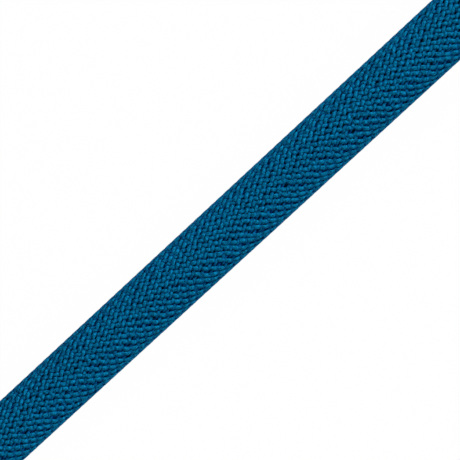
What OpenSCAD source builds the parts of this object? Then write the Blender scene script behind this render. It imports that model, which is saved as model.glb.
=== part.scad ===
// Dynamic climbing rope: a braided sheath over a bundle of core strands, with fused and
// sleeved ends. A short stretch lies straight; the rest is wound into a round coil that
// straps hold. Millimetres, +Z up, the origin on the ground under the middle of the whole.

/* [Rope] */
// Width of the rope, lying slightly pressed
rope_w = 10.6; // [8.5:0.1:13]
// Height of the rope, lying slightly pressed
rope_h = 8.6; // [7:0.1:10.5]
// Squareness of its oval section, where 2 is an ellipse
oval_power = 2.5; // [2:0.1:3]
// Wall of the braided sheath
sheath_t = 1.4; // [0.8:0.1:1.7]

/* [Core] */
// Gap between neighbouring core strands
core_gap = 0.05; // [0.02:0.01:0.1]
// Width of the marker tape that runs among the strands
tape_w = 4; // [2:0.5:5]
// Thickness of the marker tape
tape_t = 0.12; // [0.08:0.01:0.2]

/* [Ends] */
// Length of the fused tip beyond the sleeve
tip_len = 6; // [3:0.5:10]
// Length of the shrunk sleeve
sleeve_len = 18; // [12:1:22]
// Wall of the shrunk sleeve
sleeve_t = 0.4; // [0.2:0.05:0.6]

/* [Straight run] */
// From the tip to where the rope meets the coil's widest line
run_len = 206; // [170:2:260]
// Length of the last part of the run, which leans on the coil
lead_len = 58; // [48:1:80]

/* [Coil] */
// Radius of the coil at the middle of its turns
coil_mid_r = 62.8; // [56:0.1:80]
// Turns side by side in each full layer
coil_columns = 6; // [5:1:6]
// Full layers
coil_layers = 13; // [6:1:16]
// Turns side by side in the last layer, counted from the inside
top_columns = 4; // [3:1:4]
// Radius at which the springy tail leaves its last turn
tail_bend_r = 102; // [98:1:125]

/* [Straps] */
// Width of a coil strap
strap_w = 12; // [8:1:16]
// Thickness of a coil strap
strap_t = 1.2; // [0.8:0.1:2]
// Length of the strap's end that is pressed onto its own outside
strap_lap = 40; // [25:1:45]
// Inside radius of a strap at the coil's corners
strap_bend = 2.5; // [2:0.1:3]

/* [Hidden] */
sheath_blue = [0.012, 0.29, 0.44];
core_white = [0.93, 0.93, 0.9];
fused_blue = [0.01, 0.2, 0.31];
plain_black = [0.06, 0.06, 0.065];
tape_yellow = [0.85, 0.75, 0.2];

run_sides = 24;
coil_sides = 12;
strand_sides = 16;
touch = 0.1;

bore_w = rope_w - 2 * sheath_t;
bore_h = rope_h - 2 * sheath_t;

// The strands fill the bore. Told as shares of its half width and half height, they are
// equal rounds in these rows inside a circle of radius 1, with the tape between the middle
// rows. The last strand of the outer row touches the circle, which gives their spacing.
core_rows = [3, 4, 4, 3];
row_rise = sqrt(3) / 2;
outer_rise = 0.5 + row_rise;
tape_room = (tape_t + 2 * core_gap) / bore_h;
fit_a = outer_rise * outer_rise + 0.75;
fit_b = 2 * outer_rise * tape_room + 1;
fit_c = tape_room * tape_room - 1;
spacing = (sqrt(fit_b * fit_b - 4 * fit_a * fit_c) - fit_b) / (2 * fit_a);
inner_row = spacing / 2 + tape_room;
outer_row = spacing * outer_rise + tape_room;
row_heights = [-outer_row, -inner_row, inner_row, outer_row];
strand_w = spacing * bore_w / 2 - core_gap;
strand_h = spacing * bore_h / 2 - core_gap;
core_places = [
    for (row = [0 : len(core_rows) - 1])
        for (i = [0 : core_rows[row] - 1])
            [
                (i - (core_rows[row] - 1) / 2) * spacing * bore_w / 2,
                row_heights[row] * bore_h / 2
            ]
];

coil_out_r = coil_mid_r + coil_columns * rope_w / 2;
coil_in_r = coil_mid_r - coil_columns * rope_w / 2;
coil_h = coil_layers * rope_h;
top_out_r = coil_in_r + top_columns * rope_w;
top_h = coil_h + rope_h;

// The whole is as long as the run and the coil's radius together, and as wide as the coil.
whole_len = run_len + coil_out_r;
tip_x = -whole_len / 2;
coil_x = tip_x + run_len;
rope_y = coil_out_r - rope_w / 2;
rope_z = rope_h / 2;
sleeve_x = tip_x + tip_len;
bare_x = sleeve_x + sleeve_len;
lead_x = coil_x - lead_len;
lead_trim = 9;

// A strap lies over the turns and is sunk into them underneath, so that the coil stands
// flat. Its straight inner side clears the coil's round inner wall.
strap_count = 4;
first_strap = 45;
strap_out_r = coil_out_r + touch;
strap_in_r = sqrt(coil_in_r * coil_in_r - strap_w * strap_w / 4) - touch;
strap_outline = [
    [strap_in_r, strap_t],
    [strap_out_r, strap_t],
    [strap_out_r, coil_h],
    [top_out_r, top_h + touch],
    [strap_in_r, top_h + touch]
];

// The tail leaves its last turn just past the second strap, clockwise, on a wider bend. It
// bends until it lies beside that turn, and ends straight and stiff. Its first stretch,
// which is still inside the last turn, is left out.
tail_gap = 0.2;
tail_from_r = top_out_r - rope_w / 2;
tail_to_r = top_out_r + tail_gap + rope_w / 2;
tail_z = coil_h + rope_h / 2;
tail_shift = tail_bend_r - tail_from_r;
tail_start = first_strap + 360 / strap_count - asin((strap_w / 2 + 1) / tail_from_r);
tail_sweep = acos(
    1 - (tail_to_r * tail_to_r - tail_from_r * tail_from_r) / (2 * tail_shift * tail_bend_r)
);
tail_out = 1.5;
tail_skip = acos(1 - tail_out / tail_shift);
tail_end = tail_start - tail_sweep;

function polar(r, angle) = [r * cos(angle), r * sin(angle)];
function unit(v) = v / norm(v);
function right_of(v) = [v.y, -v.x];

// A superellipse with a flat on each of its four sides.
function oval(w, h, sides, power) = let (
    q = 2 / power,
    grow = pow(cos(180 / sides), q)
) [
    for (k = [0 : sides - 1])
        let (c = cos((k + 0.5) * 360 / sides), s = sin((k + 0.5) * 360 / sides))
            [
                sign(c) * pow(abs(c), q) * w / 2 / grow,
                sign(s) * pow(abs(s), q) * h / 2 / grow
            ]
];

// The rope's section, drawn in from its full size on every side.
function rope_section(inset = 0, sides = run_sides) =
    oval(rope_w - 2 * inset, rope_h - 2 * inset, sides, oval_power);

// Middle of the round at corner i of a convex outline that runs counter-clockwise.
function round_middle(outline, i, r) = let (
    n = len(outline),
    before = right_of(unit(outline[i] - outline[(i + n - 1) % n])),
    after = right_of(unit(outline[(i + 1) % n] - outline[i]))
) outline[i] - r * (before + after) / (1 + before * after);

// The outline with each corner rounded by r, and then grown outwards by grow.
function rounded(outline, r, grow, steps = 5) = [
    for (i = [0 : len(outline) - 1])
        let (
            n = len(outline),
            before = right_of(unit(outline[i] - outline[(i + n - 1) % n])),
            after = right_of(unit(outline[(i + 1) % n] - outline[i])),
            from = atan2(before.y, before.x),
            turn = acos(before * after)
        )
            for (s = [0 : steps])
                round_middle(outline, i, r) + polar(r + grow, from + turn * s / steps)
];

// Lays a section that is drawn as [across, up] along +X at the run's height.
module along_run(from_x, to_x)
    translate([from_x, rope_y, rope_z])
        rotate([90, 0, 90])
            linear_extrude(to_x - from_x)
                children();

// Puts the middle of the tail's bend at the origin, level with the last layer.
module at_tail_bend()
    translate([coil_x, 0, tail_z])
        translate(polar(-tail_shift, tail_start))
            children();

// Stands what lies along -X from the origin at the end of the tail's bend, in line with it.
module at_tail_end()
    at_tail_bend()
        rotate([0, 0, tail_end])
            translate([tail_bend_r, 0, 0])
                rotate([0, 0, 90])
                    children();

// Braided sheath of the straight run, open at both ends for the core. The sleeve has
// pressed its first stretch in.
module sheath_run() color(sheath_blue) difference() {
    union() {
        along_run(bare_x, lead_x) polygon(rope_section());
        along_run(sleeve_x, lead_x) polygon(rope_section(sleeve_t));
    }
    along_run(sleeve_x - 1, lead_x + 1) polygon(rope_section(sheath_t));
}

module core_strand(place) color(core_white)
    along_run(sleeve_x, lead_x)
        translate(place) polygon(oval(strand_w, strand_h, strand_sides, 2));

module marker_tape() color(tape_yellow)
    along_run(sleeve_x, lead_x) square([tape_w, tape_t], center = true);

// A melted tip along -X: the strands run together and the end is rounded off.
module fused_tip() {
    slices = [[0, 1], [0.55, 0.95], [0.88, 0.8], [1, 0.58]];
    slice_t = 0.02;
    rotate([90, 0, -90]) hull()
        for (s = slices)
            translate([0, 0, s[0] * (tip_len - slice_t)])
                linear_extrude(slice_t)
                    polygon(s[1] * rope_section(sleeve_t));
}

// A shrunk sleeve along -X, flush with the rope that it has pressed in.
module end_sleeve()
    rotate([90, 0, -90]) linear_extrude(sleeve_len) difference() {
        polygon(rope_section());
        polygon(rope_section(sleeve_t));
    }

module near_tip() color(fused_blue)
    translate([sleeve_x, rope_y, rope_z]) fused_tip();

module near_sleeve() color(plain_black)
    translate([bare_x, rope_y, rope_z]) end_sleeve();

// The end of the run, solid, hollowed where it leans on the coil's widest line.
module rope_lead() color(sheath_blue) difference() {
    along_run(lead_x, coil_x - lead_trim) polygon(rope_section());
    translate([coil_x, 0, -1]) cylinder(r = coil_out_r, h = rope_h + 2, $fn = 180);
}

// All the turns together, with the outer ones showing on the surface.
module coil_section() {
    for (layer = [0 : coil_layers])
        for (column = [0 : (layer < coil_layers ? coil_columns : top_columns) - 1])
            if (column == 0 || layer == 0 || layer >= coil_layers - 1 || column == coil_columns - 1)
                translate([coil_in_r + (column + 0.5) * rope_w, (layer + 0.5) * rope_h])
                    polygon(rope_section(sides = coil_sides));
    translate([coil_in_r + rope_w / 2, rope_h / 2])
        square([(coil_columns - 1) * rope_w, (coil_layers - 1) * rope_h]);
    translate([coil_in_r + rope_w / 2, rope_h])
        square([(top_columns - 1) * rope_w, coil_h - rope_h / 2]);
}

module rope_coil() color(sheath_blue) difference() {
    translate([coil_x, 0, 0]) rotate_extrude($fn = 180) coil_section();
    for (i = [0 : strap_count - 1])
        at_strap(i, strap_w + 2 * touch) difference() {
            translate([strap_in_r - 1, -1])
                square([strap_out_r - strap_in_r + 2, strap_t + strap_bend + 1]);
            polygon(rounded(strap_outline, strap_bend, 0));
        }
}

// The last of the rope: its bend beside the last turn, and the stretch under the sleeve.
module rope_tail() color(sheath_blue) {
    difference() {
        at_tail_bend()
            rotate([0, 0, tail_end])
                rotate_extrude(angle = tail_sweep - tail_skip, $fn = 180)
                    translate([tail_bend_r, 0])
                        polygon(rope_section());
        translate([coil_x, 0, coil_h - 1])
            cylinder(r = top_out_r + touch, h = rope_h + 2, $fn = 180);
    }
    at_tail_end()
        rotate([90, 0, -90])
            translate([0, 0, -1])
                linear_extrude(sleeve_len + 1)
                    polygon(rope_section(sleeve_t));
}

module far_sleeve() color(plain_black) at_tail_end() end_sleeve();

module far_tip() color(fused_blue)
    at_tail_end() translate([-sleeve_len, 0, 0]) fused_tip();

// Draws a strap's shape, given as [out, up], at its place round the coil.
module at_strap(index, width)
    translate([coil_x, 0, 0])
        rotate([90, 0, first_strap + index * 360 / strap_count])
            translate([0, 0, -width / 2])
                linear_extrude(width)
                    children();

// One strap: a loop pulled over the turns, with its end pressed onto its outside.
module coil_strap(index) color(plain_black)
    at_strap(index, strap_w) {
        difference() {
            polygon(rounded(strap_outline, strap_bend, strap_t));
            polygon(rounded(strap_outline, strap_bend, 0));
        }
        translate([strap_out_r + strap_t, (coil_h - strap_lap) / 2])
            square([strap_t, strap_lap]);
    }

sheath_run();
core_strand(core_places[0]);  // core_strand_01
core_strand(core_places[1]);  // core_strand_02
core_strand(core_places[2]);  // core_strand_03
core_strand(core_places[3]);  // core_strand_04
core_strand(core_places[4]);  // core_strand_05
core_strand(core_places[5]);  // core_strand_06
core_strand(core_places[6]);  // core_strand_07
core_strand(core_places[7]);  // core_strand_08
core_strand(core_places[8]);  // core_strand_09
core_strand(core_places[9]);  // core_strand_10
core_strand(core_places[10]);  // core_strand_11
core_strand(core_places[11]);  // core_strand_12
core_strand(core_places[12]);  // core_strand_13
core_strand(core_places[13]);  // core_strand_14
marker_tape();
near_tip();
near_sleeve();
rope_lead();
rope_coil();
rope_tail();
far_sleeve();
far_tip();
coil_strap(0);  // coil_strap_1
coil_strap(1);  // coil_strap_2
coil_strap(2);  // coil_strap_3
coil_strap(3);  // coil_strap_4
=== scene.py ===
"""Dynamic climbing rope: a braided sheath over twisted core strands, wound into a coil.

Each operator makes one piece, or one group of like pieces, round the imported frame. Lengths
are in metres. +Z is up, and +X runs along the straight run from its tip towards the coil.
"""

import math

import bpy
import numpy as np
from bpy.props import FloatProperty, FloatVectorProperty, IntProperty, PointerProperty
from mathutils import Matrix, Vector


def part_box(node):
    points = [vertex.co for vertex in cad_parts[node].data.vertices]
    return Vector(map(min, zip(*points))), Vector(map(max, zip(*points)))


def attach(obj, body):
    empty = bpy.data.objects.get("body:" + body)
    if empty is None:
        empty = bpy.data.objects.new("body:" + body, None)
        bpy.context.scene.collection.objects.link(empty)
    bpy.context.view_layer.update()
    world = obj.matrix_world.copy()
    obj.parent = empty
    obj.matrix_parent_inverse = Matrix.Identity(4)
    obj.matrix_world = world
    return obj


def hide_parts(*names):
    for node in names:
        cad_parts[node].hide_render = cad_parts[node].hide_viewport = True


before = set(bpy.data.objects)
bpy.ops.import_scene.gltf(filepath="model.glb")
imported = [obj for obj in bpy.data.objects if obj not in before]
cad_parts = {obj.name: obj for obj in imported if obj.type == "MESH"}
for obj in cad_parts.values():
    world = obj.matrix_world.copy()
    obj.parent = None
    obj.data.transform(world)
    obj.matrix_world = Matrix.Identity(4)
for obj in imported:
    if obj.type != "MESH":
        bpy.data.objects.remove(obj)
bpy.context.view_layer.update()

bl_info = {
    "name": "Climbing Rope",
    "version": (1, 0, 0),
    "blender": (4, 5, 0),
    "location": "3D View > Sidebar > Rope",
    "description": "Makes a coiled kernmantle climbing rope, piece by piece",
    "category": "Add Mesh",
}

SEED = 7
TURN = 2 * math.pi


# Sizes and colours


def length_of(name, description, default):
    return FloatProperty(
        name=name, description=description, default=default, unit="LENGTH", precision=5
    )


def angle_of(name, description, degrees):
    return FloatProperty(
        name=name, description=description, default=math.radians(degrees), subtype="ANGLE"
    )


def number_of(name, description, default):
    return FloatProperty(name=name, description=description, default=default)


def count_of(name, description, default):
    return IntProperty(name=name, description=description, default=default)


def colour_of(name, description, *default):
    return FloatVectorProperty(
        name=name, description=description, default=default + (1,), size=4,
        subtype="COLOR", min=0, max=1,
    )


class RopeSizes(bpy.types.PropertyGroup):
    """The rope, lying slightly pressed."""

    length: length_of("Length", "Length of the whole rope, laid out", 30)
    width: length_of("Width", "Width of the rope, lying slightly pressed", 0.0106)
    height: length_of("Height", "Height of the rope, lying slightly pressed", 0.0086)
    squareness: number_of("Squareness", "Squareness of the section, where 2 is an ellipse", 2.5)
    run: length_of("Straight run", "From the tip to where the rope meets the coil", 0.206)
    tip: length_of("Tip", "Length of the fused tip beyond the sleeve", 0.006)
    sleeve: length_of("Sleeve", "Length of the shrunk sleeve", 0.018)
    sleeve_wall: length_of("Sleeve wall", "Wall of the shrunk sleeve", 0.0004)


class BraidSizes(bpy.types.PropertyGroup):
    """The sheath's braid."""

    strands: count_of("Strands", "Strands that wind each way", 30)
    pitch: length_of("Pitch", "Length in which a strand moves round by one place", 0.00172)
    fill: number_of("Fill", "Share of the room between its neighbours that a strand fills", 0.80)
    strand_thickness: length_of("Strand thickness", "Thickness of one strand", 0.00040)
    wave: length_of("Wave", "How far a strand rises and dips from the middle", 0.00020)
    bow: length_of("Bow", "How far the stitch rows lag at the rope's sides", 0.0020)
    skew: length_of("Skew", "How far the stitch rows slant across the rope", 0.0013)
    lead: number_of("Lead", "How far one lay stands out over the other at each side", 0.9)
    slack: number_of("Slack", "Unevenness of the strands", 0.29)


class CoilSizes(bpy.types.PropertyGroup):
    """The wound part."""

    middle_radius: length_of("Radius", "Radius of the coil at the middle of its turns", 0.0628)
    columns: count_of("Columns", "Turns side by side in a full layer", 6)
    layers: count_of("Layers", "Full layers", 13)
    top_columns: count_of("Top turns", "Turns in the last layer", 4)
    crossing: length_of("Crossing", "Length in which the rope moves over by one turn", 0.064)
    tail_bend: length_of("Tail bend", "Radius at which the tail leaves its turn", 0.102)
    tail_gap: length_of("Tail gap", "Gap between the tail's end and its neighbour", 0.0002)


class StrapSizes(bpy.types.PropertyGroup):
    """The straps round the coil."""

    count: count_of("Straps", "Straps round the coil", 4)
    first: angle_of("First", "Direction of the first strap", 45)
    width: length_of("Width", "Width of a strap", 0.012)
    thickness: length_of("Thickness", "Thickness of a strap", 0.0012)
    lap: length_of("Lap", "Length of the end that is pressed onto the outside", 0.04)
    bend: length_of("Bend", "Inside radius at the coil's corners", 0.0025)


class RopeColours(bpy.types.PropertyGroup):
    """Dyes and finishes, and the painted shade of the sheath yarn."""

    yarn: colour_of("Yarn", "Dyed sheath yarn in full light", 0.0018, 0.136, 0.278)
    # Painted shade: the yarn's colour down between the strands stands in for the shade that falls
    # there
    yarn_painted_shade: colour_of("Yarn, painted shade", "That yarn down between the strands", 0.0004, 0.022, 0.175)
    core: colour_of("Core", "Undyed core yarn", 0.82, 0.82, 0.78)
    tape: colour_of("Tape", "Marker tape", 0.65, 0.5, 0.03)
    melted: colour_of("Melted end", "Melted sheath and core", 0.002, 0.035, 0.085)
    plastic: colour_of("Sleeve", "Shrunk sleeve", 0.012, 0.012, 0.013)
    webbing: colour_of("Strap", "Strap webbing", 0.014, 0.014, 0.016)


class StageSizes(bpy.types.PropertyGroup):
    """Camera, lamps and floor."""

    tilt: angle_of("Tilt", "Camera back from straight above, towards the tip", 6)
    slope: angle_of("Slope", "Slope of the run in the picture", 42.67)
    lens: number_of("Lens", "Focal length in millimetres", 1200)
    frame_width: length_of("Frame", "Width of the picture at the rope", 0.0797)
    target: length_of("Target", "Point on the run in the middle of the picture", 0.088)
    lift: length_of("Lift", "Camera moved up in the picture plane", -0.00012)
    sky: number_of("Sky", "Strength of the plain light all round", 0.34)
    left_lamp: number_of("Left lamp", "Strength of the lamp on the coil's side", 2.1)
    right_lamp: number_of("Right lamp", "Strength of the lamp on the other side", 1.6)
    lamp_height: angle_of("Lamp height", "Lamps above the horizon", 30)
    lamp_turn: angle_of("Lamp turn", "Lamps aside from the run's line, one each way", 25)
    lamp_size: angle_of("Lamp size", "Width of a lamp as seen from the rope", 12)
    brightness: number_of("Floor brightness", "How far the floor shows plain white", 0.985)


class Plan:
    """All sizes and colours, and the rope's line that follows from them."""

    def __init__(self, scene):
        self.rope, self.braid = scene.rope_sizes, scene.braid_sizes
        self.coil, self.straps = scene.coil_sizes, scene.strap_sizes
        self.colours, self.stage = scene.rope_colours, scene.stage_sizes
        self.route = Route(self.rope, self.coil, self.straps)


# The rope's line

# Where the winding moves over or up, as directions from the coil's axis in degrees
OUTWARD, OUTWARD_STEP = 13.5, 6.9
INWARD, INWARD_STEP = 123, 19.5
INNERMOST, TOP_INNERMOST = 201, 261.5
TOP_OUTWARD = (74.5, 81, 88.5)
CLIMB_OUTSIDE, CLIMB_OUTSIDE_SWEEP = 98, 32
CLIMB_INSIDE, TOP_CLIMB_INSIDE, CLIMB_INSIDE_SWEEP = -33, 28, 80

POINT_STEP = 0.001  # between points on the straights
BEND_STEP = 0.01  # between points on the tail's bend, in radians
SAME_PLACE = 1e-7  # points nearer than this are one
RING_STEP, ROPE_SIDES = 0.008, 16  # of the rope's tube
STRAY_ASIDE, ASIDE_WAVES = 0.0002, (0.11, 0.19, 0.37)
STRAY_UP, UP_WAVES = 0.00015, (0.13, 0.23, 0.31)
UNDER_SLEEVE = 0.004  # how far the modelled strands reach under a sleeve
STRAP_CLEAR = 0.001  # from a strap to where the tail leaves its turn


def ease(share):
    """From 0 to 1 with a level start and end."""
    share = np.clip(share, 0, 1)
    return share * share * (3 - 2 * share)


def unit(vectors):
    return vectors / np.linalg.norm(vectors, axis=-1, keepdims=True)


def plan_moves(rope, coil, inner, tail_start):
    """Moves of the winding to the next turn or layer, as (from, to, columns, layers). From and
    to are degrees wound clockwise since the rope met the coil, where it heads along +X."""
    moves = []

    def move(start, sweep, columns, layers):
        done = moves[-1][1] if moves else 0
        begin = done + (90 - start - done + 1e-6) % 360 - 1e-6
        moves.append((begin, begin + sweep, columns, layers))

    def cross(middle, column, step):
        radius = inner + (column + 0.5 + step / 2) * rope.width
        sweep = math.degrees(coil.crossing / radius)
        move(middle + sweep / 2, sweep, step, 0)

    for layer in range(coil.layers):
        if layer % 2:
            for i in range(coil.columns - 1):
                cross(OUTWARD + OUTWARD_STEP * i, i, 1)
            move(CLIMB_OUTSIDE, CLIMB_OUTSIDE_SWEEP, 0, 1)
            continue
        top = layer == coil.layers - 1
        for i in range(coil.columns - 2):
            cross(INWARD + INWARD_STEP * i, coil.columns - 1 - i, -1)
        cross(TOP_INNERMOST if top else INNERMOST, 1, -1)
        move(TOP_CLIMB_INSIDE if top else CLIMB_INSIDE, CLIMB_INSIDE_SWEEP, 0, 1)
    for i, middle in enumerate(TOP_OUTWARD):
        cross(middle, i, 1)
    done = moves[-1][1]
    return moves, done + (90 - tail_start - done) % 360


def unevenness(along, waves, seed):
    """A smooth wander from about -1 to 1 over these lengths."""
    draw = np.random.default_rng(seed)
    total = np.zeros(len(along))
    for length in waves:
        total += np.sin(TURN * (along / length + draw.random())) / len(waves)
    return total


class Route:
    """The rope's line from its near end under the sleeve to its far end under the other. The
    modelled strands cover its two open ends, each from the sleeve to the middle of a strap."""

    def __init__(self, rope, coil, straps):
        self.inner = coil.middle_radius - coil.columns * rope.width / 2
        self.outer = coil.middle_radius + coil.columns * rope.width / 2
        self.tip_x = -(rope.run + self.outer) / 2
        self.sleeve_x = self.tip_x + rope.tip
        self.bare_x = self.sleeve_x + rope.sleeve
        self.coil_x = self.tip_x + rope.run
        self.run_y = self.outer - rope.width / 2
        self.run_z = rope.height / 2

        xs = np.arange(self.sleeve_x, self.coil_x - POINT_STEP / 2, POINT_STEP)
        run = np.stack([xs, np.full_like(xs, self.run_y), np.full_like(xs, self.run_z)], 1)
        leave = self.inner + (coil.top_columns - 0.5) * rope.width
        start = straps.first + TURN / straps.count
        start -= math.asin((straps.width / 2 + STRAP_CLEAR) / leave)
        turns = self.wind(rope, coil, start)
        tail, sweep = self.lay_tail(rope, coil, start, leave)

        points = np.vstack([run, turns, tail])
        steps = np.linalg.norm(np.diff(points, axis=0), axis=1)
        self.points = points[np.concatenate([[True], steps > SAME_PLACE])]
        self.lengths = np.concatenate([[0], np.cumsum(steps[steps > SAME_PLACE])])
        self.total = self.lengths[-1]
        self.rings = np.linspace(0, self.total, round(self.total / RING_STEP))
        run_end = self.coil_x - self.sleeve_x + self.run_y * (math.pi / 2 - straps.first)
        tail_start = self.total - rope.sleeve - coil.tail_bend * sweep
        tail_start -= straps.width / 2 + STRAP_CLEAR
        self.covered = (
            (rope.sleeve - UNDER_SLEEVE, run_end),
            (tail_start, self.total - rope.sleeve + UNDER_SLEEVE),
        )

    def wind(self, rope, coil, tail_start):
        """Points on the turns, from the end of the run to the start of the tail."""
        moves, end = plan_moves(rope, coil, self.inner, math.degrees(tail_start))
        wound = np.linspace(0, end, round(end))
        column = np.full(len(wound), coil.columns - 1.0)
        layer = np.zeros(len(wound))
        for begin, stop, columns, layers in moves:
            share = ease((wound - begin) / (stop - begin))
            column += columns * share
            layer += layers * share
        radius = self.inner + (column + 0.5) * rope.width
        angle = np.radians(90 - wound)
        about = np.cumsum(np.radians(end / len(wound)) * radius)
        # The turns stray a little, but not where they join the run and the tail
        stray = ease((about - 0.1) / 0.2) * ease((about[-1] - 0.05 - about) / 0.1)
        radius += STRAY_ASIDE * stray * unevenness(about, ASIDE_WAVES, SEED)
        height = (layer + 0.5) * rope.height
        height += STRAY_UP * stray * ease(layer) * unevenness(about, UP_WAVES, SEED + 1)
        x, y = self.coil_x + radius * np.cos(angle), radius * np.sin(angle)
        return np.stack([x, y, height], 1)

    def lay_tail(self, rope, coil, start, leave):
        """Points on the tail, which leaves its turn on a wider bend until it lies beside the
        turn and goes straight on under the far sleeve, and the angle of that bend."""
        beside = self.inner + coil.top_columns * rope.width + coil.tail_gap + rope.width / 2
        shift = coil.tail_bend - leave
        sweep = math.acos(1 - (beside**2 - leave**2) / (2 * shift * coil.tail_bend))
        middle = np.array([self.coil_x, 0]) - shift * np.array([math.cos(start), math.sin(start)])
        angle = start - np.append(np.arange(BEND_STEP, sweep, BEND_STEP), sweep)
        x = middle[0] + coil.tail_bend * np.cos(angle)
        y = middle[1] + coil.tail_bend * np.sin(angle)
        bend = np.stack([x, y, np.full_like(x, (coil.layers + 0.5) * rope.height)], 1)
        heading = start - sweep - math.pi / 2
        self.tail_end = bend[-1]
        self.tail_ahead = np.array([math.cos(heading), math.sin(heading), 0])
        gone = np.arange(0, rope.sleeve + SAME_PLACE, POINT_STEP)
        return np.vstack([bend[:-1], self.tail_end + gone[:, None] * self.tail_ahead]), sweep

    def at(self, lengths):
        """Middle, side and up at these lengths from the near end."""
        lengths = np.asarray(lengths, float)

        def middle(s):
            return np.stack([np.interp(s, self.lengths, self.points[:, i]) for i in range(3)], -1)

        ahead = middle(np.minimum(lengths + POINT_STEP, self.total))
        ahead = unit(ahead - middle(np.maximum(lengths - POINT_STEP, 0)))
        up = unit(np.array([0, 0, 1.0]) - ahead * ahead[..., 2:])
        return middle(lengths), np.cross(ahead, up), up


class Oval:
    """The rope's section, drawn in by inset, with places told as shares of its girth. Share 0
    is at the side, and a quarter at the top."""

    def __init__(self, rope, inset=0.0):
        a, b, n = rope.width / 2 - inset, rope.height / 2 - inset, rope.squareness
        turn = np.linspace(0, TURN, 2881)
        c, s = np.cos(turn), np.sin(turn)
        x = np.sign(c) * np.abs(c) ** (2 / n) * a
        y = np.sign(s) * np.abs(s) ** (2 / n) * b
        gone = np.concatenate([[0], np.cumsum(np.hypot(np.diff(x), np.diff(y)))])
        self.girth = gone[-1]
        self.share = gone / self.girth
        out_x = np.sign(x) * np.abs(x / a) ** (n - 1) / a
        out_y = np.sign(y) * np.abs(y / b) ** (n - 1) / b
        size = np.hypot(out_x, out_y)
        self.lines = (x, y, out_x / size, out_y / size)

    def at(self, share):
        """Place and outward direction, each as (across, up)."""
        share = np.mod(share, 1)
        x, y, out_x, out_y = (np.interp(share, self.share, line) for line in self.lines)
        size = np.hypot(out_x, out_y)
        return x, y, out_x / size, out_y / size


# Meshes


def skin_tubes(name, points, lengths, painted_shade_depth=None):
    """One object from tubes given as points[tube, ring, place round the ring], closed at both
    ends. Its UV map holds the length along in metres and the share of the way round."""
    tubes, rings, sides = points.shape[:3]
    index = np.arange(tubes * rings * sides).reshape(tubes, rings, sides)
    beyond = np.roll(index, -1, axis=2)
    quads = np.stack([index[:, :-1], index[:, 1:], beyond[:, 1:], beyond[:, :-1]], -1)
    corners = np.concatenate([quads.ravel(), index[:, 0].ravel(), index[:, -1, ::-1].ravel()])
    starts = np.concatenate(
        [np.arange(quads.size // 4) * 4, quads.size + np.arange(2 * tubes) * sides]
    )
    mesh = bpy.data.meshes.new(name)
    mesh.vertices.add(index.size)
    mesh.vertices.foreach_set("co", points.ravel().astype(np.float32))
    mesh.loops.add(len(corners))
    mesh.loops.foreach_set("vertex_index", corners.astype(np.int32))
    mesh.polygons.add(len(starts))
    mesh.polygons.foreach_set("loop_start", starts.astype(np.int32))
    mesh.polygons.foreach_set("use_smooth", np.ones(len(starts), bool))
    mesh.update(calc_edges=True)

    along = np.broadcast_to(lengths, (tubes, rings))
    near, far = along[:, :-1, None], along[:, 1:, None]
    here = (np.arange(sides) / sides)[None, None, :]
    there = here + 1 / sides
    uv = np.empty((tubes, rings - 1, sides, 4, 2))
    for corner, place in enumerate(((near, here), (far, here), (far, there), (near, there))):
        for axis in (0, 1):
            uv[..., corner, axis] = np.broadcast_to(place[axis], uv.shape[:3])
    caps = np.zeros(4 * tubes * sides)
    layer = mesh.uv_layers.new(name="UVMap")
    layer.data.foreach_set("uv", np.concatenate([uv.ravel(), caps]).astype(np.float32))
    # A depth for each corner, which the yarn's material turns into painted shade
    if painted_shade_depth is not None:
        attribute = mesh.attributes.new("painted_shade_depth", "FLOAT", "POINT")
        attribute.data.foreach_set("value", painted_shade_depth.ravel().astype(np.float32))
    piece = bpy.data.objects.new(name, mesh)
    bpy.context.collection.objects.link(piece)
    return piece


def deselect_all():
    if bpy.context.object and bpy.context.object.mode != "OBJECT":
        bpy.ops.object.mode_set(mode="OBJECT")
    bpy.ops.object.select_all(action="DESELECT")


def face_outward(piece, merge=0.0):
    """Turns all faces outward, after joining corners that are nearer than merge."""
    deselect_all()
    piece.select_set(True)
    bpy.context.view_layer.objects.active = piece
    bpy.ops.object.mode_set(mode="EDIT")
    bpy.ops.mesh.select_all(action="SELECT")
    if merge:
        bpy.ops.mesh.remove_doubles(threshold=merge)
    bpy.ops.mesh.normals_make_consistent(inside=False)
    bpy.ops.object.mode_set(mode="OBJECT")


def smooth(piece, angle=35):
    """Turns all faces outward, and smooths what isn't an edge."""
    face_outward(piece)
    bpy.ops.object.shade_smooth_by_angle(angle=math.radians(angle))


def shaped_grid(name, long, wide, shape, length):
    """A skin of long by wide cells. shape(along, round), with both told as shares, gives the
    places of its corners, and corners that meet are joined."""
    deselect_all()
    bpy.ops.mesh.primitive_grid_add(
        x_subdivisions=long, y_subdivisions=wide, size=1, location=(0, 0, 0)
    )
    piece = bpy.context.object
    piece.name = piece.data.name = name
    mesh = piece.data
    flat = np.empty(3 * len(mesh.vertices))
    mesh.vertices.foreach_get("co", flat)
    flat = flat.reshape(-1, 3) + 0.5
    mesh.vertices.foreach_set("co", shape(flat[:, 0], flat[:, 1]).ravel())
    layer = mesh.uv_layers[0]
    layer.name = "UVMap"
    uv = np.empty(2 * len(layer.data))
    layer.data.foreach_get("uv", uv)
    uv[::2] *= length
    layer.data.foreach_set("uv", uv)
    face_outward(piece, merge=0.000002)
    return piece


def apply_modifier(piece, kind, **settings):
    modifier = piece.modifiers.new(kind, kind)
    for key, value in settings.items():
        setattr(modifier, key, value)
    bpy.context.view_layer.objects.active = piece
    bpy.ops.object.modifier_apply(modifier=modifier.name)


def apply_bevel(piece, width, angle=30):
    """Rounds the edges that turn by more than this angle."""
    apply_modifier(
        piece, "BEVEL", width=width, segments=2, limit_method="ANGLE",
        angle_limit=math.radians(angle),
    )


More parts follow.
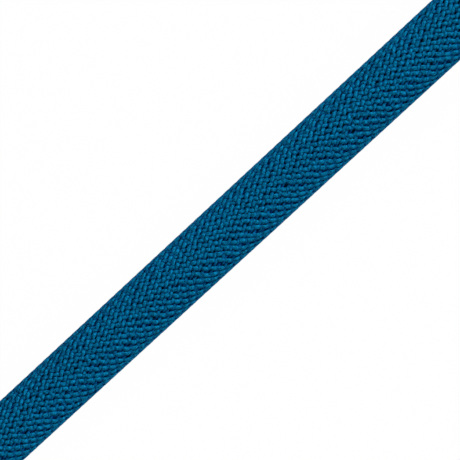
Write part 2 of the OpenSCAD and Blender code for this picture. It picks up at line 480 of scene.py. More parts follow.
def finish_piece(piece, material, nodes=()):
    """Gives a piece its material and slot and lets it ride on the rope's body."""
    piece.data.materials.clear()
    piece.data.materials.append(material)
    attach(piece, "root")
    if nodes:
        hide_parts(*nodes)


# Materials


class Recipe:
    """A node tree under way."""

    def __init__(self, tree):
        self.tree = tree

    def feed(self, node, inputs):
        """Sets a node's inputs, each to a value or to the socket that feeds it."""
        for key, value in inputs.items():
            if isinstance(value, bpy.types.NodeSocket):
                self.tree.links.new(value, node.inputs[key])
            else:
                node.inputs[key].default_value = value

    def put(self, kind, inputs=None, **settings):
        """Adds a node and gives its outputs."""
        node = self.tree.nodes.new(kind)
        for key, value in settings.items():
            setattr(node, key, value)
        self.feed(node, inputs or {})
        return node.outputs

    def math(self, operation, *values):
        return self.put("ShaderNodeMath", dict(enumerate(values)), operation=operation)[0]

    def add(self, *values):
        return self.math("ADD", *values)

    def minus(self, *values):
        return self.math("SUBTRACT", *values)

    def times(self, *values):
        return self.math("MULTIPLY", *values)

    def over(self, *values):
        return self.math("DIVIDE", *values)

    def most(self, *values):
        return self.math("MAXIMUM", *values)

    def spread(self, value, low, high, to_low=0.0, to_high=1.0):
        """Maps low..high to to_low..to_high, held at the ends."""
        inputs = {"Value": value, "From Min": low, "From Max": high}
        inputs.update({"To Min": to_low, "To Max": to_high})
        return self.put("ShaderNodeMapRange", inputs)["Result"]

    def noise(self, place, scale, detail=2.0, roughness=0.5):
        inputs = {"Vector": place, "Scale": scale, "Detail": detail, "Roughness": roughness}
        return self.put("ShaderNodeTexNoise", inputs)["Fac"]

    def bump(self, height, strength, distance):
        inputs = {"Height": height, "Strength": strength, "Distance": distance}
        return self.put("ShaderNodeBump", inputs)[0]

    def way(self):
        """Length along in metres, and share of the way round, from the piece's own UV map."""
        uv = self.put("ShaderNodeUVMap", uv_map="UVMap")[0]
        split = self.put("ShaderNodeSeparateXYZ", {0: uv})
        return split["X"], split["Y"]

    def place(self):
        return self.put("ShaderNodeTexCoord")["Object"]

    def braid(self, along, round_, lead=0.0):
        """Height of a plain braid, from 0 between the strands to 1 at the top of a stitch."""
        inputs = {"Along": along, "Round": round_, "Lead": lead}
        return self.put("ShaderNodeGroup", inputs, node_tree=braid_group())["Height"]

    def shade_and_tone(self, top, deep, height, grain, unevenness):
        """Colour of dyed yarn, with painted shade where the height is low, and its flecks."""
        inputs = {"Top": top, "Deep": deep, "Height": height, "Place": self.place()}
        inputs.update({"Grain": grain, "Unevenness": unevenness})
        outputs = self.put("ShaderNodeGroup", inputs, node_tree=tone_and_shade_group())
        return outputs["Colour"], outputs["Fleck"]

    def fibres(self, fineness, stretch):
        """Height of the fine lines along a yarn."""
        along, round_ = self.way()
        inputs = {"Along": along, "Round": round_, "Fineness": fineness, "Stretch": stretch}
        return self.put("ShaderNodeGroup", inputs, node_tree=fibre_group())["Height"]


def new_material(name):
    material = bpy.data.materials.new(name)
    material.use_nodes = True
    return material, Recipe(material.node_tree), material.node_tree.nodes["Principled BSDF"]


def shared_group(name, inputs, outputs, build):
    """A node group that is built once. Its inputs are (name, kind, default) and its outputs
    (name, kind), and build gives the sockets that feed the outputs."""
    if name in bpy.data.node_groups:
        return bpy.data.node_groups[name]
    tree = bpy.data.node_groups.new(name, "ShaderNodeTree")
    for label, kind, default in inputs:
        kind = "NodeSocket" + kind
        socket = tree.interface.new_socket(label, in_out="INPUT", socket_type=kind)
        if default is not None:
            socket.default_value = default
    for label, kind in outputs:
        tree.interface.new_socket(label, in_out="OUTPUT", socket_type="NodeSocket" + kind)
    recipe = Recipe(tree)
    results = build(recipe, recipe.put("NodeGroupInput"))
    recipe.put("NodeGroupOutput", dict(enumerate(results)))
    return tree


def braid_group():
    """A plain braid, where the strands of the two lays pass over one another by turns."""
    half_strand, lift = 0.48, 0.9

    def build(recipe, given):
        wave = recipe.math("COSINE", recipe.times(given["Along"], TURN))
        wave = recipe.minus(wave, given["Lead"])
        wave = recipe.most(recipe.math("MINIMUM", wave, 1.0), -1.0)
        tops = []
        for lay, side in (("SUBTRACT", 1), ("ADD", -1)):
            place = recipe.math(lay, given["Round"], given["Along"])
            off = recipe.math("ABSOLUTE", recipe.minus(recipe.math("FRACT", place), 0.5))
            across = recipe.over(recipe.minus(0.5, off), half_strand)
            left = recipe.minus(1.0, recipe.times(across, across))
            round_top = recipe.math("SQRT", recipe.most(left, 0.0))
            tops.append(recipe.add(round_top, recipe.times(wave, side * lift)))
        return [recipe.spread(recipe.most(*tops), -0.2, 1.9)]

    inputs = [("Along", "Float", 0.0), ("Round", "Float", 0.0), ("Lead", "Float", 0.0)]
    return shared_group("Braid height", inputs, [("Height", "Float")], build)


def tone_and_shade_group():
    """Colour of dyed yarn: painted shade between the strands, where the height is low, and uneven
    from yarn to yarn.
    """
    darkest = 0.2

    def build(recipe, given):
        # Painted shade: the deep colour where the height is low, the top colour where it is high
        shares = {0: given["Height"], 6: given["Deep"], 7: given["Top"]}
        colour = recipe.put("ShaderNodeMix", shares, data_type="RGBA")[2]
        grain = recipe.noise(given["Place"], given["Grain"], detail=3.0, roughness=0.6)
        swing = recipe.times(recipe.minus(grain, 0.5), given["Unevenness"])
        light = recipe.most(darkest, recipe.add(1.0, recipe.times(swing, 2.0)))
        toned = {0: colour, "Scale": light}
        return [recipe.put("ShaderNodeVectorMath", toned, operation="SCALE")[0], grain]

    inputs = [
        ("Top", "Color", (0, 0, 0, 1)),
        ("Deep", "Color", (0, 0, 0, 1)),
        ("Height", "Float", 1.0),
        ("Place", "Vector", None),
        ("Grain", "Float", 1500.0),
        ("Unevenness", "Float", 0.2),
    ]
    return shared_group("Dyed yarn and painted shade", inputs, [("Colour", "Color"), ("Fleck", "Float")], build)


def fibre_group():
    """Fine lines along a yarn, as a height."""

    def build(recipe, given):
        x = recipe.times(given["Along"], given["Stretch"])
        y = recipe.times(given["Round"], given["Fineness"])
        return [recipe.noise(recipe.put("ShaderNodeCombineXYZ", {"X": x, "Y": y})[0], 1.0)]

    inputs = [("Along", "Float", 0.0), ("Round", "Float", 0.0)]
    inputs += [("Fineness", "Float", 14.0), ("Stretch", "Float", 500.0)]
    return shared_group("Fibre lines", inputs, [("Height", "Float")], build)


YARN_GRAIN = 3400.0
YARN_FINISH = {
    "Roughness": 0.85, "Specular IOR Level": 0.03, "Specular Tint": (0.0, 0.45, 1.0, 1)
}


def darker(colour, share):
    return [share * c for c in colour[:3]] + [1]


def sheath_yarn_material(colours):
    """Yarn of the modelled strands."""
    material, recipe, shader = new_material("sheath_yarn")
    # Painted shade: the yarn darkens to its deep colour where the depth attribute says the strand
    # lies low
    painted_shade_depth = recipe.put("ShaderNodeAttribute", attribute_name="painted_shade_depth")["Fac"]
    height = recipe.spread(painted_shade_depth, 0.25, 0.9)
    colour, _ = recipe.shade_and_tone(colours.yarn, colours.yarn_painted_shade, height, YARN_GRAIN, unevenness=1.9)
    fibres = recipe.fibres(fineness=16.0, stretch=900.0)
    normal = recipe.bump(fibres, strength=0.6, distance=0.00012)
    recipe.feed(shader, {"Base Color": colour, "Normal": normal, **YARN_FINISH})
    return material


def braided_rope_material(braid, colours):
    """The same braid as a pattern, for the turns of the coil."""
    material, recipe, shader = new_material("braided_sheath")
    along, round_ = recipe.way()
    stray = recipe.minus(recipe.noise(recipe.place(), 260.0), 0.5)
    stray = recipe.times(stray, 1.6 * braid.pitch)
    side = recipe.math("COSINE", recipe.times(recipe.add(round_, 0.5), TURN))
    lag = recipe.add(recipe.times(side, braid.bow), braid.skew)
    lag = recipe.add(recipe.times(side, lag), stray)
    weave = recipe.braid(
        recipe.over(recipe.minus(along, lag), braid.pitch),
        recipe.times(round_, float(braid.strands)),
        recipe.times(side, braid.lead),
    )
    # Painted shade between the stitches: the colour falls to a darker deep yarn where the braid
    # pattern is low
    deep = darker(colours.yarn_painted_shade, 0.3)
    height = recipe.spread(weave, 0.25, 0.85)
    colour, _ = recipe.shade_and_tone(colours.yarn, deep, height, YARN_GRAIN, unevenness=1.1)
    normal = recipe.bump(weave, strength=1.0, distance=0.0008)
    recipe.feed(shader, {"Base Color": colour, "Normal": normal, **YARN_FINISH})
    return material


def shrunk_plastic_material(braid, colours):
    """Thin black plastic, with the braid showing through as soft dents."""
    material, recipe, shader = new_material("shrunk_plastic")
    along, round_ = recipe.way()
    weave = recipe.braid(
        recipe.over(along, braid.pitch), recipe.times(round_, float(braid.strands))
    )
    fine = recipe.noise(recipe.place(), 2500.0, detail=3.0)
    height = recipe.add(weave, recipe.times(fine, 0.3))
    recipe.feed(shader, {
        "Base Color": colours.plastic,
        "Normal": recipe.bump(height, strength=0.5, distance=0.00012),
        "Roughness": recipe.spread(fine, 0.3, 0.7, 0.38, 0.52),
    })
    return material


def melted_material(colours):
    """Sheath and core run together: dark, uneven and glossy."""
    material, recipe, shader = new_material("melted_end")
    lumps = recipe.noise(recipe.place(), 700.0)
    height = recipe.spread(lumps, 0.35, 0.6)
    # Painted shade in the hollows: darker where the lumps are low
    deep = darker(colours.melted, 0.35)
    colour, fleck = recipe.shade_and_tone(colours.melted, deep, height, grain=900.0, unevenness=0.5)
    recipe.feed(shader, {
        "Base Color": colour,
        "Normal": recipe.bump(lumps, strength=0.6, distance=0.0003),
        "Roughness": recipe.spread(fleck, 0.3, 0.7, 0.18, 0.4),
    })
    return material


def webbing_material(colours):
    """Flat woven strap: rows of small bumps, each row half a step on."""
    rows_across, step = 16.0, 0.0019
    material, recipe, shader = new_material("strap_webbing")
    along, round_ = recipe.way()
    rows = recipe.times(round_, rows_across)
    ridge = recipe.math("ABSOLUTE", recipe.math("SINE", recipe.times(rows, math.pi)))
    half_steps = recipe.times(recipe.math("FLOOR", rows), 0.5)
    phase = recipe.add(recipe.over(along, step), half_steps)
    bumps = recipe.math("COSINE", recipe.times(phase, TURN))
    height = recipe.times(ridge, recipe.spread(bumps, -1.0, 1.0, 0.25, 1.0))
    # Painted shade between the rows and bumps: darker where the weave is low
    deep = darker(colours.webbing, 0.3)
    colour, _ = recipe.shade_and_tone(colours.webbing, deep, height, grain=2500.0, unevenness=0.3)
    recipe.feed(shader, {
        "Base Color": colour,
        "Normal": recipe.bump(height, strength=0.9, distance=0.00025),
        "Roughness": 0.75,
        "Specular IOR Level": 0.3,
    })
    return material


def core_yarn_material(colours):
    """Undyed twisted yarn."""
    material, recipe, shader = new_material("core_yarn")
    fibres = recipe.fibres(fineness=12.0, stretch=350.0)
    height = recipe.spread(fibres, 0.3, 0.6)
    # Painted shade in the grooves between the fibres
    deep = darker(colours.core, 0.7)
    colour, _ = recipe.shade_and_tone(colours.core, deep, height, grain=3000.0, unevenness=0.12)
    normal = recipe.bump(fibres, strength=0.5, distance=0.0001)
    recipe.feed(shader, {"Base Color": colour, "Normal": normal, "Roughness": 0.7})
    return material


def tape_material(colours):
    """Thin blank film, a little uneven."""
    material, recipe, shader = new_material("marker_film")
    waves = recipe.noise(recipe.place(), 300.0)
    recipe.feed(shader, {
        "Base Color": colours.tape,
        "Normal": recipe.bump(waves, strength=0.3, distance=0.0002),
        "Roughness": recipe.spread(waves, 0.3, 0.7, 0.28, 0.45),
    })
    return material


# Rope and strands

# Under the modelled strands, the rope's tube is drawn in, less at its sides than elsewhere
SINK, SIDE_SINK, SINK_LENGTH = 0.00088, 0.00035, 0.002

RINGS_PER_PITCH, STRAND_SIDES = 8, 6
STRAND_WAVES = (2.6, 5.3, 9.7, 17.0)  # lengths over which a strand strays, in pitches
SLACK_LIFT = 0.25  # how much of the slack shows in a strand's height
TOP_LEAD = 0.12  # lead of one lay on top of the rope
EDGE, EDGE_WIDTH, EDGE_CALM = 0.90, 0.08, 0.85  # the braid is flatter at the rope's edges
SLEEVE_PRESS, PRESS_LENGTH = 0.4, 0.003  # and under a sleeve
PULL_SHARE, PULL_BASE = 0.5, 0.58  # how a strand slims as the rows stretch it
TOP_WIDTH = 0.1  # how much wider it is on top of a stitch


def run_swell(gone):
    """The run is a little fuller near its sleeve and slimmer towards the coil. Gone is the
    length from the sleeve."""
    fuller, slimming = 0.0426, 0.6
    fade_in, fade_from, fade_out = 0.008, 0.118, 0.035
    swell = (fuller - slimming * gone) * ease(gone / fade_in)
    return 1 + swell * (1 - ease((gone - fade_from) / fade_out))


def strap_angles(straps):
    return [straps.first + TURN * i / straps.count for i in range(straps.count)]


def press_under_straps(points, plan):
    """Lifts what lies under a strap's lower side, and keeps turns inside its outer side."""
    reach, fade, beyond, clearance = 0.006, 0.0055, 0.002, 0.00005
    straps, outer = plan.straps, plan.route.outer
    x, y = points[..., 0] - plan.route.coil_x, points[..., 1]
    for angle in strap_angles(straps):
        out = x * math.cos(angle) + y * math.sin(angle)
        aside = np.abs(-x * math.sin(angle) + y * math.cos(angle))
        near = ease((straps.width / 2 + reach - aside) / fade)
        near = near * (out > 0) * (out < outer + beyond)
        floor = (straps.thickness + clearance) * near
        points[..., 2] = np.where(near > 0, np.maximum(points[..., 2], floor), points[..., 2])
        over = np.maximum(out - outer, 0) * near
        points[..., 0] -= over * math.cos(angle)
        points[..., 1] -= over * math.sin(angle)
    return points


class ROPE_OT_rope(bpy.types.Operator):
    """The whole rope as one tube, sunk where the modelled strands lie over it"""

    bl_idname = "climbing_rope.rope"
    bl_label = "Rope"

    def execute(self, context):
        plan = Plan(context.scene)
        lengths = plan.route.rings
        middle, side, up = plan.route.at(lengths)
        share = np.arange(ROPE_SIDES) / ROPE_SIDES
        across, high, out_x, out_y = Oval(plan.rope).at(share)
        (_, run_end), (tail_start, _) = plan.route.covered
        under = 1 - ease((lengths - run_end + SINK_LENGTH) / SINK_LENGTH)
        under += ease((lengths - tail_start) / SINK_LENGTH)
        inset = np.where(share % 0.5 == 0, SIDE_SINK, SINK) * under[:, None]
        across = (across[None, :] - out_x[None, :] * inset)[..., None]
        high = (high[None, :] - out_y[None, :] * inset)[..., None]
        points = middle[:, None] + side[:, None] * across + up[:, None] * high
        piece = skin_tubes("rope", press_under_straps(points, plan)[None], lengths[None])
        material = braided_rope_material(plan.braid, plan.colours)
        nodes = ["sheath_run", "rope_lead", "rope_coil", "rope_tail"]
        finish_piece(piece, material, nodes)
        return {"FINISHED"}


def braid_strands(name, plan, stretch, lay, first, count):
    """Strands first to first + count of one lay, along one stretch of the route. A strand winds
    round the rope, and rises over and dips under those of the other lay by turns."""
    rope, braid, route = plan.rope, plan.braid, plan.route
    reach = braid.wave + braid.strand_thickness / 2
    oval = Oval(rope, reach)
    lengths = np.arange(*stretch, braid.pitch / RINGS_PER_PITCH)
    cells = lengths / braid.pitch
    wave = lay * np.cos(TURN * cells)[None, :]

    # Where each strand is round the rope, and how it strays aside and up
    draw = np.random.default_rng(SEED + first + (100 if lay < 0 else 0))
    index = np.arange(first, first + count)
    share = (index[:, None] + lay * cells[None, :]) / braid.strands
    wander, lift = np.zeros(share.shape), np.zeros(share.shape)
    for length in STRAND_WAVES:
        wander += np.sin(TURN * (cells[None] / length + draw.random((count, 1))))
        lift += np.sin(TURN * (cells[None] / length + draw.random((count, 1))))
    share = share + braid.slack * wander / len(STRAND_WAVES) / braid.strands

    # The strand's middle, drawn in where a sleeve or the rope's edge makes the braid flatter
    turn = TURN * (share - 0.25)
    aside = np.sin(turn)
    along = lengths[None, :] + braid.bow * aside**2 + braid.skew * aside
    middle, side, up = route.at(np.maximum(along, POINT_STEP))
    across, high, out_x, out_y = oval.at(share)
    swell = run_swell(along - rope.sleeve)
    middle[..., 2] += (swell - 1) * rope.height / 2
    from_sleeve = np.minimum(along, route.total - along) - rope.sleeve
    pressed = 1 - ease(from_sleeve / PRESS_LENGTH)
    calm = 1 - EDGE_CALM * ease((np.abs(aside) - EDGE) / EDGE_WIDTH)
    rise = wave * (1 + SLACK_LIFT * braid.slack * lift) - lay * (braid.lead * aside + TOP_LEAD)
    height = braid.wave * (rise * calm * (1 - SLEEVE_PRESS * pressed) + 1 - calm)
    height = np.minimum(height, braid.wave) - rope.sleeve_wall * pressed
    across, high = across * swell + out_x * height, high * swell + out_y * height
    place = middle + side * across[..., None] + up * high[..., None]

    # Its directions outward and across
    out = side * out_x[..., None] + up * out_y[..., None]
    ahead = unit(np.gradient(place, axis=1))
    out = unit(out - ahead * (out * ahead).sum(-1, keepdims=True))
    flat = np.cross(ahead, out)

    # Its width, where the rows' bow and skew stretch it, and its skin
    room = oval.girth / braid.strands
    slide = braid.bow * np.sin(2 * turn) + braid.skew * np.cos(turn)
    pull = np.hypot(1 + lay * slide * TURN / braid.strands / braid.pitch, room / braid.pitch)
    width = braid.fill * room / (PULL_SHARE * pull + PULL_BASE) * (1 + TOP_WIDTH * wave)
    corner = TURN * (np.arange(STRAND_SIDES) + 0.5) / STRAND_SIDES
    wide = width[..., None, None] / 2 * np.cos(corner)[:, None]
    thick = (braid.strand_thickness / 2) * np.sin(corner)[:, None] * np.ones_like(wide)
    points = place[:, :, None] + flat[:, :, None] * wide + out[:, :, None] * thick
    # How low each corner lies, from the full wave even where the edge calms the strand, for the
    # painted shade between strands
    painted_shade_depth = ((braid.wave * rise)[..., None] + thick[..., 0] + reach) / (2 * reach)
    return skin_tubes(name, press_under_straps(points, plan), lengths[None], painted_shade_depth)


class ROPE_OT_sheath_strands(bpy.types.Operator):
    """The sheath's strands, one by one, from each sleeve until a strap covers them"""

    bl_idname = "climbing_rope.sheath_strands"
    bl_label = "Sheath strands"

    def execute(self, context):
        plan = Plan(context.scene)
        material = sheath_yarn_material(plan.colours)
        for where, stretch, parts in zip(("run", "tail"), plan.route.covered, (3, 1)):
            firsts = np.linspace(0, plan.braid.strands, parts + 1).astype(int)
            for lay, label in ((1, "right"), (-1, "left")):
                for part, (first, beyond) in enumerate(zip(firsts, firsts[1:])):
                    name = "%s_strands_%s_%d" % (where, label, part + 1)
                    piece = braid_strands(name, plan, stretch, lay, first, beyond - first)
                    finish_piece(piece, material)
        return {"FINISHED"}


# Ends, core and straps


def rope_ends(route):
    """Where each sleeve starts on the bare rope, and the direction from there to the tip."""
    near = np.array([route.bare_x, route.run_y, route.run_z])
    return {
        "near": (near, np.array([-1.0, 0, 0])),
        "far": (route.tail_end, route.tail_ahead),
    }


def lay_section(end, oval, beyond, share, scale):
    """Places on a scaled section of the rope, so far beyond the sleeve's start."""
    start, ahead = end
    up = np.array([0, 0, 1.0])
    across, high = oval.at(share)[:2]
    return (
        start
        + np.multiply.outer(beyond, ahead)
        + np.multiply.outer(across * scale, np.cross(ahead, up))
        + np.multiply.outer(high * scale, up)
    )


class ROPE_OT_end_sleeves(bpy.types.Operator):
    """The two shrunk sleeves that hold the sheath to the core at the ends"""

    bl_idname = "climbing_rope.end_sleeves"
    bl_label = "End sleeves"

    def execute(self, context):
        plan = Plan(context.scene)
        rope = plan.rope
        material = shrunk_plastic_material(plan.braid, plan.colours)
        oval = Oval(rope)
        inset, dents, lip_dents = 0.006, 0.006, 0.010  # shares of the rope's width
        for index, (label, end) in enumerate(rope_ends(plan.route).items()):

            def shape(along, share):
                around = TURN * share
                dent = np.sin(2 * around + 9 * along + index) * np.sin(14 * along + 3 * around)
                lip = np.exp(-(((along - 0.06) / 0.04) ** 2)) * (1 + 0.5 * np.sin(5 * around))
                scale = 1 - inset - dents * dent - lip_dents * lip
                return lay_section(end, oval, along * rope.sleeve, share, scale)

            piece = shaped_grid(label + "_shrunk_sleeve", 40, 64, shape, rope.sleeve)
            apply_modifier(
                piece, "SOLIDIFY", thickness=rope.sleeve_wall, offset=-1, use_even_offset=True
            )
            apply_bevel(piece, 0.0001)
            smooth(piece)
            finish_piece(piece, material, [label + "_sleeve"])
        return {"FINISHED"}


class ROPE_OT_fused_tips(bpy.types.Operator):
    """The two tips, where sheath and core are melted together"""

    bl_idname = "climbing_rope.fused_tips"
    bl_label = "Fused tips"

    def execute(self, context):
        plan = Plan(context.scene)
        rope = plan.rope
        material = melted_material(plan.colours)
        oval = Oval(rope, rope.sleeve_wall)
        # The skin runs over the face in the sleeve, along the side and over the rounded end
        side_start, side_end, face_start = 0.1, 0.75, 0.85
        gone, scales = (0, 0.3, 0.55, 0.75, 0.88, 1), (1, 0.985, 0.95, 0.89, 0.8, 0.6)
        lumpiness, sagging = 0.02, 0.06
        for index, (label, end) in enumerate(rope_ends(plan.route).items()):

            def shape(along, share):
                around = TURN * share
                stops = (side_start, side_end, face_start, 1)
                beyond = np.interp(along, stops, (0, 0.88, 1, 0.99))
                scale = np.interp(beyond, gone, scales)
                scale = scale * np.interp(along, (0, side_start, face_start, 1), (0, 1, 1, 0))
                lumps = np.sin(3 * around + 8 * beyond + index) * np.sin(5 * around - 6 * beyond)
                scale = scale * (1 - lumpiness * (1 + lumps) * ease(beyond * 3))
                end_on = ease((along - 0.8) / 0.2)
                sag = sagging * end_on * (1 + 1.5 * (1 - end_on) * np.cos(2 * around + index))
                gone_on = rope.sleeve + (beyond - sag) * rope.tip
                return lay_section(end, oval, gone_on, share, scale)

            piece = shaped_grid(label + "_melted_tip", 40, 48, shape, rope.tip)
            smooth(piece, 60)
            finish_piece(piece, material, [label + "_tip"])
        return {"FINISHED"}


def strap_path(plan):
    """Middle of the strap's thickness as (out, up), from its first end, round the coil and onto
    its own outside, with the length gone at each place."""
    rope, coil, straps, route = plan.rope, plan.coil, plan.straps, plan.route
    gap, step_out, arc_steps, step = 0.0001, 0.005, 6, 0.003
    outer = route.outer + gap
    near = math.sqrt(route.inner**2 - straps.width**2 / 4) - gap
    full = coil.layers * rope.height
    top = full + rope.height + gap
    low_side = straps.thickness
    shoulder = route.inner + coil.top_columns * rope.width
    corners = ((outer, full), (shoulder, top), (near, top), (near, low_side), (outer, low_side))
    corners = [Vector(corner) for corner in corners]
    radius = straps.bend + straps.thickness / 2
    wall = outer + straps.thickness / 2
    low = (full - straps.lap) / 2
    path = [Vector((wall, low))]
    for i, corner in enumerate(corners):
        before = (corner - corners[i - 1]).normalized()
        after = (corners[(i + 1) % len(corners)] - corner).normalized()
        out_before, out_after = Vector((before.y, -before.x)), Vector((after.y, -after.x))
        middle = corner - straps.bend * (out_before + out_after) / (1 + out_before.dot(out_after))
        first = math.atan2(out_before.y, out_before.x)
        turn = out_before.angle(out_after)
        for s in range(arc_steps + 1):
            angle = first + turn * s / arc_steps
            path.append(middle + radius * Vector((math.cos(angle), math.sin(angle))))
    # The end steps out over the start and is pressed onto it
    path += [
        Vector((wall, low - step_out)),
        Vector((wall + straps.thickness / 3, low - step_out / 2)),
        Vector((wall + straps.thickness, low - 0.0002)),
        Vector((wall + straps.thickness, low + straps.lap)),
    ]
    points = np.array([tuple(p) for p in path])
    gone = np.concatenate([[0], np.cumsum(np.linalg.norm(np.diff(points, axis=0), axis=1))])
    cuts = [
        np.linspace(a, b, max(2, math.ceil((b - a) / step)), endpoint=False)
        for a, b in zip(gone, gone[1:])
    ]
    cuts = np.concatenate(cuts + [gone[-1:]])
    return cuts, np.interp(cuts, gone, points[:, 0]), np.interp(cuts, gone, points[:, 1])


class ROPE_OT_coil_straps(bpy.types.Operator):
    """The woven straps round the coil, each with its end pressed onto its own outside"""

    bl_idname = "climbing_rope.coil_straps"
    bl_label = "Coil straps"

    def execute(self, context):
        plan = Plan(context.scene)
        straps = plan.straps
        material = webbing_material(plan.colours)
        gone, out, up = strap_path(plan)
        rows = len(gone) - 1

        def shape(along, share):
            row = np.rint(along * rows).astype(int)
            ripple = 0.00008 * np.sin(gone[row] / 0.013) * np.sin(gone[row] / 0.0047)
            aside = (share - 0.5) * straps.width + ripple
            return np.stack([out[row], aside, up[row]], 1)

        model = shaped_grid("strap_1", rows, 6, shape, gone[-1])
        apply_modifier(
            model, "SOLIDIFY", thickness=straps.thickness, offset=0, use_even_offset=True
        )
        apply_bevel(model, 0.0002, 60)
        smooth(model)
        meshes = [model.data] + [model.data.copy() for _ in range(1, straps.count)]
        for i, (mesh, angle) in enumerate(zip(meshes, strap_angles(straps))):
            piece = model
            if i:
                piece = model.copy()
                piece.data = mesh
                piece.name = mesh.name = "strap_%d" % (i + 1)
                context.collection.objects.link(piece)
            turned = Matrix.Rotation(angle, 4, "Z")
            mesh.transform(Matrix.Translation((plan.route.coil_x, 0, 0)) @ turned)
            finish_piece(piece, material, ["coil_strap_%d" % (i + 1)])
        return {"FINISHED"}


class ROPE_OT_core_strands(bpy.types.Operator):
    """The strands inside the sheath, each of three plies twisted together"""

    bl_idname = "climbing_rope.core_strands"
    bl_label = "Core strands"

    def execute(self, context):
        plies, sides, ring_step = 3, 8, 0.0008
        lay_length, turn_between = 0.011, 0.37
        ply_off, ply_radius = 0.53, 0.455  # shares of the strand's half width and height
        nodes = sorted(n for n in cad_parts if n.startswith("core_strand"))
        if not nodes:
            raise RuntimeError("the frame holds no core strands")
        material = core_yarn_material(context.scene.rope_colours)
        for index, node in enumerate(nodes):
            low, high = (np.array(corner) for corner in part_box(node))
            middle, half = (low + high) / 2, (high - low) / 2
            length = high[0] - low[0]
            lengths = np.linspace(0, length, round(length / ring_step))
            twist = TURN * (lengths / lay_length + index * turn_between)
            ply = (twist[None, :] + TURN * np.arange(plies)[:, None] / plies)[..., None]
            turn = TURN * np.arange(sides) / sides + ply
            across = ply_off * np.cos(ply) + ply_radius * np.cos(turn)
            up = ply_off * np.sin(ply) + ply_radius * np.sin(turn)
            x = np.broadcast_to(low[0] + lengths[None, :, None], across.shape)
            points = np.stack([x, middle[1] - half[1] * across, middle[2] + half[2] * up], -1)
            piece = skin_tubes("core_yarn_%02d" % (index + 1), points, lengths[None])
            finish_piece(piece, material, [node])
        return {"FINISHED"}


class ROPE_OT_marker_tape(bpy.types.Operator):
    """The thin blank tape that runs between the core's rows"""

    bl_idname = "climbing_rope.marker_tape"
    bl_label = "Marker tape"

    def execute(self, context):
        low, high = (Vector(corner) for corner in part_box("marker_tape"))
        deselect_all()
        bpy.ops.mesh.primitive_cube_add(size=1, location=(low + high) / 2)
        piece = context.object
        piece.name = piece.data.name = "marker_film"
        piece.scale = high - low
        bpy.ops.object.transform_apply(location=True, rotation=True, scale=True)
        apply_bevel(piece, 0.00003)
        smooth(piece)
        material = tape_material(context.scene.rope_colours)
        finish_piece(piece, material, ["marker_tape"])
        return {"FINISHED"}


# Stage

WHITE = (1, 1, 1, 1)


def backdrop_rays(recipe):
    """1 on rays that show the backdrop: straight, by gloss or through glass."""
    rays = recipe.put("ShaderNodeLightPath")
    seen = recipe.most(rays["Is Camera Ray"], rays["Is Glossy Ray"])
    return recipe.most(seen, rays["Is Transmission Ray"])


def add_camera(scene, plan):
    """Looks down on the run, which crosses the picture at the stage's slope."""
    stage, route = plan.stage, plan.route
    back = Vector((-math.sin(stage.tilt), 0, math.cos(stage.tilt)))
    along = Vector((-math.cos(stage.tilt), 0, -math.sin(stage.tilt)))
    aside = back.cross(along)
    right = along * math.cos(stage.slope) - aside * math.sin(stage.slope)
    up = along * math.sin(stage.slope) + aside * math.cos(stage.slope)
    target = Vector((route.tip_x + stage.target, route.run_y, route.run_z)) + up * stage.lift
    deselect_all()
    bpy.ops.object.camera_add()
    camera = bpy.context.object
    camera.name = "camera"
    camera.data.lens = stage.lens
    camera.data.clip_end = 50
    distance = stage.lens / camera.data.sensor_width * stage.frame_width
    turned = Matrix((right, up, back)).transposed().to_4x4()
    camera.matrix_world = Matrix.Translation(target + back * distance) @ turned
    scene.camera = camera


def add_floor(stage):
    """A pale floor that shows as plain white, but for a little of the rope's shadow."""
    deselect_all()
    bpy.ops.mesh.primitive_plane_add(size=12, location=(0, 0, 0))
    floor = bpy.context.object
    floor.name = "floor"
    material, recipe, shader = new_material("pale_floor")
    pale = {"Base Color": (0.86, 0.86, 0.86, 1), "Roughness": 0.9, "Specular IOR Level": 0.0}
    recipe.feed(shader, pale)
    glow = recipe.put("ShaderNodeEmission", {"Color": WHITE, "Strength": 1.0})[0]
    share = recipe.times(backdrop_rays(recipe), stage.brightness)
    mixed = recipe.put("ShaderNodeMixShader", {0: share, 1: shader.outputs[0], 2: glow})[0]
    recipe.feed(material.node_tree.nodes["Material Output"], {0: mixed})
    floor.data.materials.append(material)


def light_world(scene, stage):
    """Plain light all round, and a white backdrop."""
    world = scene.world or bpy.data.worlds.new("studio")
    scene.world = world
    world.use_nodes = True
    world.node_tree.nodes.clear()
    recipe = Recipe(world.node_tree)
    soft, white = (
        recipe.put("ShaderNodeBackground", {"Color": WHITE, "Strength": strength})[0]
        for strength in (stage.sky, 1.0)
    )
    mixed = recipe.put("ShaderNodeMixShader", {0: backdrop_rays(recipe), 1: soft, 2: white})[0]
    recipe.put("ShaderNodeOutputWorld", {0: mixed})


def add_lamp(name, strength, turn, stage):
    deselect_all()
    bpy.ops.object.light_add(type="SUN", location=(0, 0, 2))
    lamp = bpy.context.object
    lamp.name = name
    lamp.data.energy = strength
    lamp.data.angle = stage.lamp_size
    level = math.cos(stage.lamp_height)
    aim = (-level * math.cos(turn), level * math.sin(turn), math.sin(stage.lamp_height))
    lamp.rotation_mode = "QUATERNION"
    lamp.rotation_quaternion = Vector(aim).to_track_quat("Z", "Y")


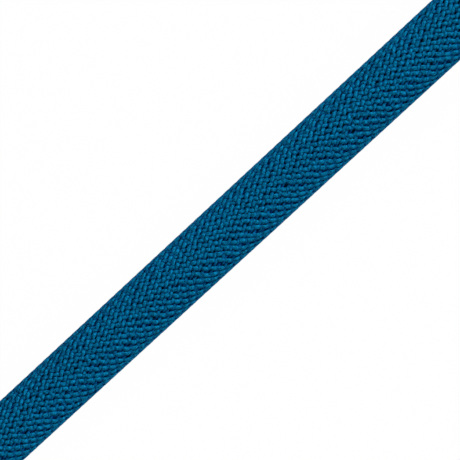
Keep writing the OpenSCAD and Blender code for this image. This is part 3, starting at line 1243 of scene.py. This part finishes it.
class ROPE_OT_stage(bpy.types.Operator):
    """Camera, plain soft light and a pale floor"""

    bl_idname = "climbing_rope.stage"
    bl_label = "Stage"

    def execute(self, context):
        plan = Plan(context.scene)
        stage = plan.stage
        add_camera(context.scene, plan)
        add_floor(stage)
        light_world(context.scene, stage)
        add_lamp("left_lamp", stage.left_lamp, -stage.lamp_turn, stage)
        add_lamp("right_lamp", stage.right_lamp, stage.lamp_turn, stage)
        context.scene.view_settings.view_transform = "Standard"
        return {"FINISHED"}


class ROPE_OT_declare(bpy.types.Operator):
    """Works out the middle of the rope at each ring, and keeps nothing"""

    bl_idname = "climbing_rope.declare"
    bl_label = "Declare the rope"

    def execute(self, context):
        plan = Plan(context.scene)
        route = plan.route
        route.at(route.rings)[0].tolist()
        return {"FINISHED"}


class ROPE_PT_pieces(bpy.types.Panel):
    """Lists what can be made"""

    bl_label = "Climbing rope"
    bl_idname = "ROPE_PT_pieces"
    bl_space_type = "VIEW_3D"
    bl_region_type = "UI"
    bl_category = "Rope"

    def draw(self, context):
        for operator in OPERATORS:
            self.layout.operator(operator.bl_idname)


GROUPS = {
    "rope_sizes": RopeSizes,
    "braid_sizes": BraidSizes,
    "coil_sizes": CoilSizes,
    "strap_sizes": StrapSizes,
    "rope_colours": RopeColours,
    "stage_sizes": StageSizes,
}
OPERATORS = (
    ROPE_OT_stage,
    ROPE_OT_rope,
    ROPE_OT_sheath_strands,
    ROPE_OT_end_sleeves,
    ROPE_OT_fused_tips,
    ROPE_OT_coil_straps,
    ROPE_OT_core_strands,
    ROPE_OT_marker_tape,
    ROPE_OT_declare,
)


def register():
    for name, group in GROUPS.items():
        bpy.utils.register_class(group)
        setattr(bpy.types.Scene, name, PointerProperty(type=group))
    for operator in OPERATORS:
        bpy.utils.register_class(operator)
    bpy.utils.register_class(ROPE_PT_pieces)


def unregister():
    bpy.utils.unregister_class(ROPE_PT_pieces)
    for operator in reversed(OPERATORS):
        bpy.utils.unregister_class(operator)
    for name, group in reversed(GROUPS.items()):
        delattr(bpy.types.Scene, name)
        bpy.utils.unregister_class(group)


def main():
    register()
    for operator in OPERATORS:
        getattr(bpy.ops.climbing_rope, operator.bl_idname.split(".")[1])()


if __name__ == "__main__":
    main()
